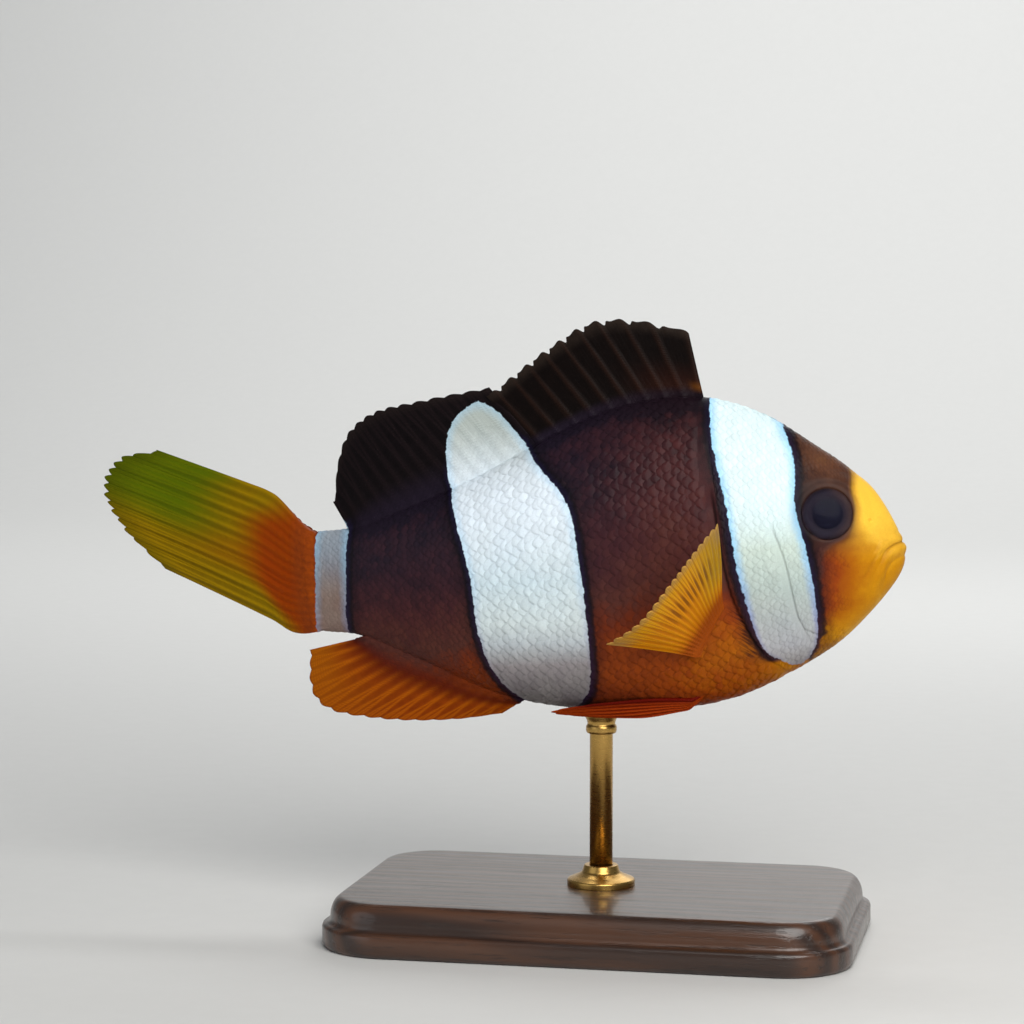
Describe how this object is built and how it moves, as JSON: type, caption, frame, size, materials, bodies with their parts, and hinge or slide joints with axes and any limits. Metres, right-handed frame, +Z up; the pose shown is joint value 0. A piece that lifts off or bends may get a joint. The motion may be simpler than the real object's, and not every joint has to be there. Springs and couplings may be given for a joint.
{
  "type": "clownfish display model",
  "caption": "Life-size dark clownfish with white bars, an orange snout and belly, a yellow tail and fanned pectoral fins, held above a flat wooden base by a short rod.",
  "frame": {"origin": "centre of the stand base's flat underside, straight below the rod", "axes": "+X towards the fish's head along its length, +Y towards its left side, +Z up; the right flank faces -Y"},
  "size_m": [0.1092, 0.0488, 0.0802],
  "materials": {
    "head_skin": "wet scaly skin: yellow-orange snout and cheek, brown forehead, pale blue-white bar with a dark border",
    "body_skin": "wet scaly skin: dark brown flanks, white bars with dark borders, orange chest and belly",
    "dark_fin": "thin dark brown membrane with paler spine tips",
    "orange_fin": "thin orange membrane over fine rays, yellower at the edge",
    "yellow_fin": "thin yellow membrane over fine branching rays, orange at the root",
    "eye": "clear glossy dome over a dark brown iris and a black pupil",
    "stand_wood": "dark stained hardwood with a satin varnish and softened edges",
    "stand_metal": "brushed brass, slightly worn"
  },
  "bodies": {
    "root": {"head": "head_skin", "lower_jaw": "head_skin", "gill_cover_right": "head_skin", "gill_cover_left": "head_skin", "trunk": "body_skin", "tail_stem": "body_skin", "dorsal_fin_spiny": "dark_fin", "dorsal_fin_soft": "dark_fin", "anal_fin": "orange_fin", "caudal_fin": "yellow_fin", "pectoral_fin_right": "yellow_fin", "pectoral_fin_left": "yellow_fin", "pelvic_fin_right": "orange_fin", "pelvic_fin_left": "orange_fin", "eye_right": "eye", "eye_left": "eye", "stand_base": "stand_wood", "stand_collar": "stand_metal", "stand_rod": "stand_metal"}
  },
  "joints": []
}
